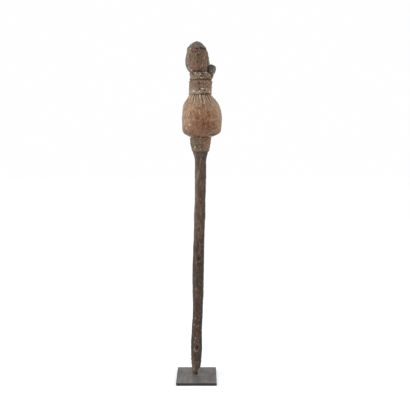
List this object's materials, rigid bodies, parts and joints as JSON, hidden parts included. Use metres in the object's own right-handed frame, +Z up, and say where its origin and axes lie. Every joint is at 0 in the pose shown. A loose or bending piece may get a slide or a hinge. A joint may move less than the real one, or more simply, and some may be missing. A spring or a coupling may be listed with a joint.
{
  "type": "carved magic staff",
  "caption": "Hewn wooden staff with a pleated hide bundle, a bound neck, a crusted head and a side knot, upright on a square steel plate.",
  "frame": {"origin": "centre of the base plate's underside", "axes": "+Z up along the staff, -Y towards the viewer in front, +X to the viewer's right, where the side knot is"},
  "size_m": [0.0894, 0.08, 0.6665],
  "materials": {
    "dark_steel": "darkened, satin, faintly brushed",
    "hewn_wood": "hewn, dark from handling, dry patina",
    "caked_wrapping": "caked with dried matter, matte",
    "hide": "dry, rubbed, stained reddish brown",
    "binding_cloth": "coarse, soiled, stiff",
    "crust": "lumpy dried crust, matte",
    "crusted_wood": "crusted patina, matte",
    "knotted_hide": "grey green, dusty"
  },
  "bodies": {
    "root": {"base_plate": "dark_steel", "mounting_pin": "dark_steel", "shaft": "hewn_wood", "collar": "caked_wrapping", "bundle": "hide", "neck_binding": "binding_cloth", "crust_ring": "crust", "head": "crusted_wood", "side_knot": "knotted_hide"}
  },
  "joints": []
}
